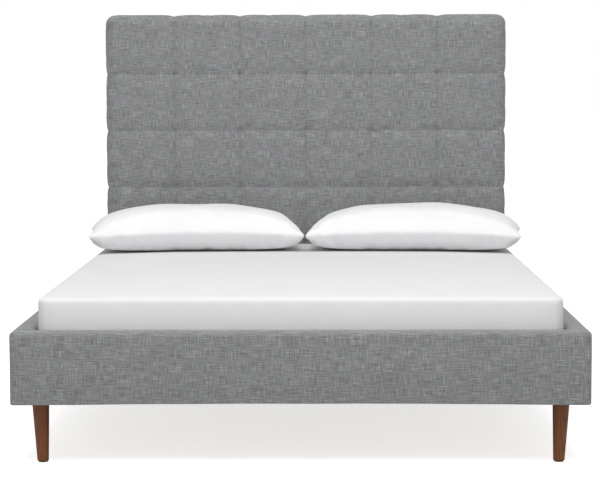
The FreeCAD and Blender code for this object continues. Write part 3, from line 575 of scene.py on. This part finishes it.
sheetValues = {
    "corner": 32 * mm,
    "edge": 13 * mm,
    "pitch": 24 * mm,
    "tuck": 90 * mm,
    "thick": 1.2 * mm,
    "crown": 3 * mm,
    "rim": 14 * mm,               # held along the top's edge
    "hemHeld": 12 * mm,
    "cornerHeld": 30 * mm,
    "cap": 3 * mm,
    "cloth": {"quality": 5, "mass": 0.2, "stretch": 30, "shear": 8, "bend": 0.4, "pressure": 0.5,
              "slack": 0.002, "frames": 12},
}


def fittedSheet():
    values = sheetValues
    low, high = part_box("fitted_sheet")
    centre, half = (low + high) / 2, (high - low) / 2
    bm = boxMesh(low, high)
    bevelWhere(bm, lambda mid, way: abs(way.z) > 0.9, values["corner"], 5)
    bevelWhere(bm, lambda mid, way: abs(way.z) < 0.1, values["edge"], 3)
    for axis in (0, 1):
        sliceAt(bm, axis, evenPlaces(low[axis], high[axis], values["pitch"])
                + [low[axis] + values["tuck"], high[axis] - values["tuck"]])
    sliceAt(bm, 2, evenPlaces(low.z, high.z, values["pitch"]))

    def beneath(mid):
        inside = all(abs(mid[i] - centre[i]) < half[i] - values["tuck"] for i in (0, 1))
        return inside and mid.z < low.z + mm

    opening = [face for face in bm.faces if beneath(face.calc_center_median())]
    bmesh.ops.delete(bm, geom=opening, context="FACES")
    piece = newPiece(bm, "fittedSheet", sheetCotton)
    held = []

    def settle(co, normal):
        edgeX = half.x - abs(co.x - centre.x)
        edgeY = half.y - abs(co.y - centre.y)
        top = smoothStep(normal.z, 0.5, 0.9)
        moved = co.copy()
        moved.z += top * values["crown"] * smoothStep(min(edgeX, edgeY), 0.02, 0.30) - top * mm
        rim = min(edgeX, edgeY) < values["rim"] and co.z > high.z - values["rim"]
        corner = max(edgeX, edgeY) < values["cornerHeld"]
        held.append(1.0 if co.z < low.z + values["hemHeld"] or rim or corner else 0.0)
        return moved

    moveVerts(piece, settle)
    puffCloth(piece, held, values["cloth"], [values["cap"]] * len(held))
    wall = piece.modifiers.new("wall", "SOLIDIFY")
    wall.thickness = values["thick"]
    wall.offset = -1
    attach(piece, "mattress")
    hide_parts("fitted_sheet")


mattressValues = {
    "gap": 5 * mm,                # room for the sheet
    "corner": 30 * mm,
    "edge": 12 * mm,
    "pitch": 60 * mm,
    "quilt": 2 * mm,
}


def mattressBody():
    values = mattressValues
    low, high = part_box("fitted_sheet")
    gap = Vector((1, 1, 1)) * values["gap"]
    low, high = low + gap, high - gap
    low.z -= gap.z - 2 * mm
    bm = boxMesh(low, high)
    bevelWhere(bm, lambda mid, way: abs(way.z) > 0.9, values["corner"], 5)
    bevelWhere(bm, lambda mid, way: abs(way.z) < 0.1, values["edge"], 3)
    for axis in (0, 1):
        sliceAt(bm, axis, evenPlaces(low[axis], high[axis], values["pitch"] / 2))
    piece = newPiece(bm, "mattressBody", ticking)

    def settle(co, normal):
        if normal.z > -0.9:
            return co
        ways = (co.x + co.y, co.x - co.y)
        pattern = math.prod(math.cos(math.pi * way / values["pitch"]) for way in ways)
        return co + Vector((0, 0, values["quilt"] * (1 - abs(pattern))))

    moveVerts(piece, settle)
    smoothSurface(piece)
    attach(piece, "mattress")
    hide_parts("mattress_core")


mattressBody()
fittedSheet()
print("mattress made up")


# Pillows

pillowValues = {
    "long": 784 * mm,
    "wide": 484 * mm,
    "waist": 0.045,               # how far the sides pull in between the corners
    "corner": 12 * mm,
    "pitch": 9 * mm,
    "above": 80 * mm,             # crown over the seam
    "below": 66 * mm,             # seam to mattress
    "lift": 14 * mm,              # how much higher the seam is at mid length
    "endFlat": 3.2,               # larger is flatter in the middle
    "endSteep": 0.52,             # smaller is steeper at the seam
    "sideFlat": 2.8,
    "sideSteep": 0.44,
    "pucker": 3 * mm,             # small gathers along the seam
    "puckerFade": 0.14,
    "crumple": 3.5 * mm,
    "seamRidge": 0.8 * mm,
    "ridgeFrom": 0.975,
    "press": 1.7,                 # how flat the underside lies
    "turn": 5.0,
    "cap": 6 * mm,
    "cloth": {"quality": 5, "mass": 0.15, "stretch": 18, "shear": 5, "bend": 0.15, "pressure": 2.0,
              "slack": 0.02, "frames": 16},
}


def pillow(side, sign):
    values = pillowValues
    low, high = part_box(f"pillowcase_{side}")
    centre = (low + high) / 2
    half = Vector((values["long"], values["wide"], 4 * mm)) / 2
    bm = boxMesh(-half, half)
    bevelWhere(bm, lambda mid, way: abs(way.z) > 0.9, values["corner"], 3)
    sliceAt(bm, 0, evenPlaces(-half.x, half.x, values["pitch"]))
    sliceAt(bm, 1, evenPlaces(-half.y, half.y, values["pitch"]))
    piece = newPiece(bm, f"{side}Pillow", pillowCotton)
    seed = Vector((3.1 * sign, 7.7, 1.3))
    above, below = values["above"], values["below"]
    held = []

    def crown(co, normal):
        u, v = co.x / half.x, co.y / half.y
        full = (max(0, 1 - abs(u) ** values["endFlat"]) ** values["endSteep"]
                * max(0, 1 - abs(v) ** values["sideFlat"]) ** values["sideSteep"])
        nearSeam = math.exp(-(1 - max(abs(u), abs(v))) / values["puckerFade"])
        gather = noise.noise(Vector((co.x * 34, co.y * 34, 0)) + seed) * values["pucker"] * nearSeam
        soft = noise.noise(Vector((co.x * 6, co.y * 6, 2)) + seed) * values["crumple"] * full * 2
        soft += noise.noise(Vector((co.x * 9, co.y * 24, 5)) + seed) * values["crumple"] * full * 0.7
        plan = Vector((co.x * (1 - values["waist"] * 0.5 * (1 - v * v)),
                       co.y * (1 - values["waist"] * (1 - u * u)), 0))
        rim = abs(co.z) < half.z * 0.5 or max(abs(u), abs(v)) > 0.995
        held.append(1.0 if rim else 0.0)
        rise = (above if co.z > 0 else -below) * full
        plan.z = co.z + rise + gather + (soft if co.z > 0 else 0)
        return plan

    moveVerts(piece, crown)
    puffCloth(piece, held, values["cloth"], [values["cap"]] * len(held))
    turn = Matrix.Rotation(math.radians(-values["turn"] * sign), 4, "Z")

    def lie(co, normal):
        along, across = min(abs(co.x) / half.x, 1), min(abs(co.y) / half.y, 1)
        ridge = values["seamRidge"] * smoothStep(max(along, across), values["ridgeFrom"], 1.0)
        ridge *= 1 if co.z > 0 else -1
        height = co.z + values["lift"] * (1 - along ** 2) + ridge
        if height < 0:
            height = -below * math.tanh(-height / below * values["press"])
        placed = turn @ Vector((co.x, co.y, 0))
        return Vector((centre.x + placed.x, centre.y + placed.y, low.z + below + height))

    moveVerts(piece, lie)
    spans = [[vert.co[i] for vert in piece.data.vertices] for i in range(3)]
    print(side, "pillow", [round(max(span) - min(span), 3) for span in spans],
          "crown", round(max(spans[2]), 3))
    smoothSurface(piece)
    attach(piece, f"pillow_{side}")
    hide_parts(f"pillowcase_{side}", f"pillow_insert_{side}")


for side, sign in (("left", -1), ("right", 1)):
    pillow(side, sign)
print("pillows plumped")


# Back: stapled dust cloth and the cloth round the head rail

backValues = {
    "hem": 14 * mm,               # folded under all round
    "hemRaise": 0.5 * mm,
    "pitch": 32 * mm,
    "sag": 0.7 * mm,
    "sagFade": 60 * mm,
    "thick": 0.4 * mm,
    "staplePitch": 42 * mm,
    "staple": (9 * mm, 0.6 * mm, 1.1 * mm),
    "stapleIn": 8 * mm,           # from the edge of the cloth
    "railRound": 3 * mm,
}


def dustCover():
    values = backValues
    low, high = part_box("headboard_back_cover")
    centre, half = (low + high) / 2, (high - low) / 2
    bm = bmesh.new()
    bmesh.ops.create_grid(bm, x_segments=1, y_segments=1, size=1)
    bmesh.ops.rotate(bm, matrix=Matrix.Rotation(math.pi / 2, 3, "X"), verts=bm.verts)
    bmesh.ops.scale(bm, vec=(half.x, 1, half.z), verts=bm.verts)
    bmesh.ops.translate(bm, vec=(centre.x, high.y - values["hemRaise"], centre.z), verts=bm.verts)
    hem = values["hem"]
    for axis in (0, 2):
        ends = [low[axis] + hem, low[axis] + hem + mm, high[axis] - hem - mm, high[axis] - hem]
        sliceAt(bm, axis, ends + evenPlaces(low[axis] + hem, high[axis] - hem, values["pitch"]))
    piece = newPiece(bm, "dustCover", dustCloth)
    if piece.data.polygons[0].normal.y < 0:
        piece.data.flip_normals()

    def settle(co, normal):
        edge = min(half.x - abs(co.x - centre.x), half.z - abs(co.z - centre.z))
        raised = values["hemRaise"] * (1 - smoothStep(edge, hem - 0.5 * mm, hem + 1.5 * mm))
        slack = values["sag"] * smoothStep(edge, hem, hem + values["sagFade"]) * noise.noise(co * 9)
        return co + Vector((0, raised + min(slack, 0), 0))

    moveVerts(piece, settle)
    wall = piece.modifiers.new("wall", "SOLIDIFY")
    wall.thickness = values["thick"]
    wall.offset = -1
    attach(piece, "frame")
    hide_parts("headboard_back_cover")
    staples = dustStaples(low, high)
    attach(staples, "frame")


def dustStaples(low, high):
    # one staple, then copies of it all round the hem
    values = backValues
    inset, size = values["stapleIn"], values["staple"]
    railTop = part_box("head_rail_cover")[1].z + size[0]
    across = evenPlaces(low.x, high.x, values["staplePitch"])
    upwards = evenPlaces(low.z, high.z, values["staplePitch"])
    spots = [(x, high.z - inset, 0.0) for x in across]        # the head rail covers the lower hem
    spots += [(x, z, 90.0) for z in upwards if z > railTop for x in (low.x + inset, high.x - inset)]
    bm = bmesh.new()
    for x, z, angle in spots:
        made = bmesh.ops.create_cube(bm, size=1)["verts"]
        bmesh.ops.scale(bm, vec=size, verts=made)
        lean = math.radians(angle + 9 * noise.noise(Vector((x, z, 3)) * 40))
        bmesh.ops.rotate(bm, matrix=Matrix.Rotation(lean, 3, "Y"), verts=made)
        bmesh.ops.translate(bm, vec=(x, high.y + size[1] / 2, z), verts=made)
    return newPiece(bm, "dustCoverStaples", zincPlate, smooth=False)


def headRailCloth():
    # the cloth keeps its bolt holes; only its outside edges are rounded
    values = backValues
    low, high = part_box("head_rail_cover")
    bm = bmesh.new()
    bm.from_mesh(nodes["head_rail_cover"].data)
    bmesh.ops.remove_doubles(bm, verts=bm.verts, dist=0.01 * mm)

    def outer(co):
        return sum(min(co[i] - low[i], high[i] - co[i]) < 0.1 * mm for i in range(3))

    sharp = [edge for edge in bm.edges if len(edge.link_faces) == 2 and edge.calc_face_angle(0) > 1.0
             and all(outer(vert.co) >= 2 for vert in edge.verts)]
    bmesh.ops.bevel(bm, geom=sharp, offset=values["railRound"], offset_type="OFFSET", affect="EDGES",
                    segments=3, profile=0.5, material=-1, clamp_overlap=True)
    piece = newPiece(bm, "headRailUpholstery", heather, smooth=False)
    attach(piece, "frame")
    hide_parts("head_rail_cover")


dustCover()
headRailCloth()
print("back finished")


# Frame, deck and fittings keep their CAD shapes

finishes = {
    walnutLacquer: ["leg_front_left", "leg_front_right", "leg_rear_left", "leg_rear_right"],
    pineAcross: ["foot_rail_board", "head_rail_board", "headboard_top_batten"],
    pineAlong: ["left_rail_board", "right_rail_board", "left_ledger", "right_ledger", "centre_beam"],
    pineUpright: ["corner_blocks", "centre_leg", "headboard_left_batten", "headboard_right_batten",
                  "headboard_left_strut", "headboard_right_strut"],
    slatBirch: [name for name in nodes if name.startswith("slat_0") or name.startswith("slat_1")],
    plywoodFace: ["headboard_panel"],
    zincPlate: ["leg_hanger_bolts", "rail_bolts", "headboard_bolts", "frame_screws",
                "centre_leg_insert", "glide_stud"],
    blackPowder: ["leg_plates", "beam_hangers"],
    brownFelt: ["leg_pads"],
    polyTape: ["slat_webbing"],
    greyTwine: ["tuft_ties"],
    blackNylon: ["glide_base"],
}
for finish, names in finishes.items():
    for name in names:
        for slot in nodes[name].material_slots:
            slot.material = finish
print("frame finished")


# Studio

studioValues = {
    "lens": 123.8,
    "cameraFromSheet": 5.941,     # in front of the sheet's foot end
    "cameraSide": 66 * mm,
    "cameraHigh": 1.0986,
    "cameraTurn": (85.693, 0.148, 0.627),
    "ambient": 0.62,
    "keyPower": 245.0,
    "keySize": 3.6,
    "keyPlace": (0.0, -3.2, 5.3),
    "keyAim": (0.0, 0.9, 0.7),
    "floorRadius": 60.0,
    "floorGrey": 0.62,
    "floorGlow": 0.72,            # keeps the floor as pale as the backdrop
    "floorDrop": -0.2 * mm,       # just under the felt pads
}


def studio():
    values = studioValues
    bm = bmesh.new()
    bmesh.ops.create_circle(bm, cap_ends=True, segments=64, radius=values["floorRadius"])
    material, tree, principled = shader("paleFloor", Roughness=0.9)
    principled.inputs["Base Color"].default_value = (*grey(values["floorGrey"]), 1)
    principled.inputs["Emission Color"].default_value = (1, 1, 1, 1)
    direct = addNode(tree, "LightPath").outputs["Is Camera Ray"]
    glow = addNode(tree, "MapRange", Value=direct, To_Max=values["floorGlow"])
    tree.links.new(glow.outputs["Result"], principled.inputs["Emission Strength"])
    bmesh.ops.translate(bm, vec=(0, 0, values["floorDrop"]), verts=bm.verts)
    floor = newPiece(bm, "studioFloor", material, smooth=False)

    world = bpy.data.worlds.new("studioWorld")
    scene.world = world
    world.use_nodes = True
    tree = world.node_tree
    seen = addNode(tree, "LightPath").outputs["Is Camera Ray"]
    strength = addNode(tree, "MapRange", Value=seen, To_Min=values["ambient"], To_Max=1.0)
    tree.nodes["Background"].inputs["Color"].default_value = (1, 1, 1, 1)
    tree.links.new(strength.outputs["Result"], tree.nodes["Background"].inputs["Strength"])

    lamp = bpy.data.lights.new("keySoftbox", "AREA")
    lamp.energy = values["keyPower"]
    lamp.size = values["keySize"]
    key = bpy.data.objects.new("keySoftbox", lamp)
    key.location = values["keyPlace"]
    aim = Vector(values["keyAim"]) - key.location
    key.rotation_euler = aim.to_track_quat("-Z", "Y").to_euler()
    scene.collection.objects.link(key)

    camera = bpy.data.objects.new("camera", bpy.data.cameras.new("camera"))
    camera.data.lens = values["lens"]
    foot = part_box("fitted_sheet")[0].y
    camera.location = (values["cameraSide"], foot - values["cameraFromSheet"], values["cameraHigh"])
    camera.rotation_euler = [math.radians(angle) for angle in values["cameraTurn"]]
    scene.collection.objects.link(camera)
    scene.camera = camera
    scene.view_settings.view_transform = "Standard"
    scene.view_settings.look = "None"


studio()
print("studio ready")
